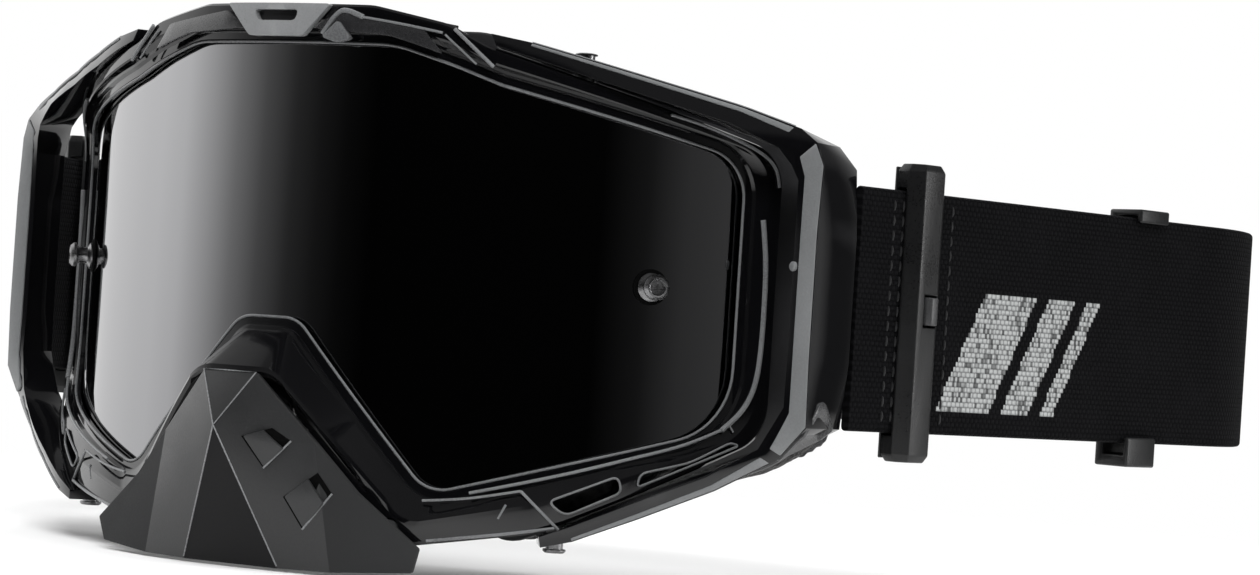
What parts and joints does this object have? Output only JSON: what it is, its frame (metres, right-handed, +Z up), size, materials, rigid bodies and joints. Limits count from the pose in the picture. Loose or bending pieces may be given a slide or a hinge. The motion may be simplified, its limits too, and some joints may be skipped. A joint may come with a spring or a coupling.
{
  "type": "motorcycle goggles",
  "caption": "Off-road motorcycle goggles: cylindrical smoke lens in a gloss black frame, hinged outriggers, pull-off nose guard, layered face foam and an elastic strap with clasps.",
  "frame": {"origin": "middle of the face seal, on the plane that the wearer's face meets", "axes": "+X to the right of someone looking at the lens, -Y forward out of the lens, +Z up"},
  "size_m": [0.2584, 0.2138, 0.1028],
  "materials": {
    "gloss_black": "moulded gloss black",
    "lens_smoke": "dark smoke tint, polished",
    "satin_grey": "satin grey",
    "matte_grey": "fine spark-eroded texture",
    "rail_grey": "matt with gloss sides",
    "clasp_grey": "satin black",
    "latch_grey": "satin dark grey",
    "flange_black": "soft matt",
    "foam_black": "open-cell foam",
    "fleece_grey": "brushed fleece",
    "webbing": "woven elastic",
    "steel": "turned"
  },
  "bodies": {
    "root": {"frame": "gloss_black", "lens": "lens_smoke", "brow_clip": "satin_grey", "face_flange": "flange_black", "foam_base": "foam_black", "foam_face": "foam_black", "face_fleece": "fleece_grey", "vent_foam_top": "foam_black", "strap": "webbing", "vent_foam_lower_left": "foam_black", "tear_off_post_left": "steel", "post_washer_left": "matte_grey", "pivot_pin_upper_left": "steel", "pivot_pin_lower_left": "steel", "strap_link_left": "webbing", "strap_return_left": "webbing", "clasp_cover_left": "clasp_grey", "clasp_base_left": "clasp_grey", "vent_foam_lower_right": "foam_black", "tear_off_post_right": "steel", "post_washer_right": "matte_grey", "pivot_pin_upper_right": "steel", "pivot_pin_lower_right": "steel", "strap_link_right": "webbing", "strap_return_right": "webbing", "clasp_cover_right": "clasp_grey", "clasp_base_right": "clasp_grey"},
    "nose_guard": {"nose_guard": "matte_grey"},
    "outrigger_left": {"outrigger_left": "rail_grey"},
    "clasp_latch_left": {"clasp_latch_left": "latch_grey"},
    "strap_slider_left": {"strap_slider_left": "clasp_grey"},
    "outrigger_right": {"outrigger_right": "rail_grey"},
    "clasp_latch_right": {"clasp_latch_right": "latch_grey"},
    "strap_slider_right": {"strap_slider_right": "clasp_grey"}
  },
  "joints": [
    {"name": "outrigger_left_hinge", "type": "hinge", "parent": "root", "child": "outrigger_left", "pos_m": [-0.053, -0.0388, 0], "axis": [0, 0, 1], "range_deg": [0, 8], "deforming": ["strap_link_left"]},
    {"name": "outrigger_right_hinge", "type": "hinge", "parent": "root", "child": "outrigger_right", "pos_m": [0.053, -0.0388, 0], "axis": [0, 0, -1], "range_deg": [0, 8], "deforming": ["strap_link_right"]},
    {"name": "nose_guard_pull", "type": "slide", "parent": "root", "child": "nose_guard", "axis": [0, -1, 0], "range_m": [0, 0.012]},
    {"name": "clasp_latch_left_press", "type": "slide", "parent": "root", "child": "clasp_latch_left", "axis": [0.9511, 0.309, 0], "range_m": [0, 0.0009], "stiffness_N_per_m": 400},
    {"name": "clasp_latch_right_press", "type": "slide", "parent": "root", "child": "clasp_latch_right", "axis": [-0.9511, 0.309, 0], "range_m": [0, 0.0009], "stiffness_N_per_m": 400},
    {"name": "strap_slider_left_slide", "type": "slide", "parent": "root", "child": "strap_slider_left", "axis": [-0.309, 0.9511, 0], "range_m": [-0.012, 0.012], "deforming": ["strap_return_left"]},
    {"name": "strap_slider_right_slide", "type": "slide", "parent": "root", "child": "strap_slider_right", "axis": [0.309, 0.9511, 0], "range_m": [-0.012, 0.012], "deforming": ["strap_return_right"]}
  ]
}
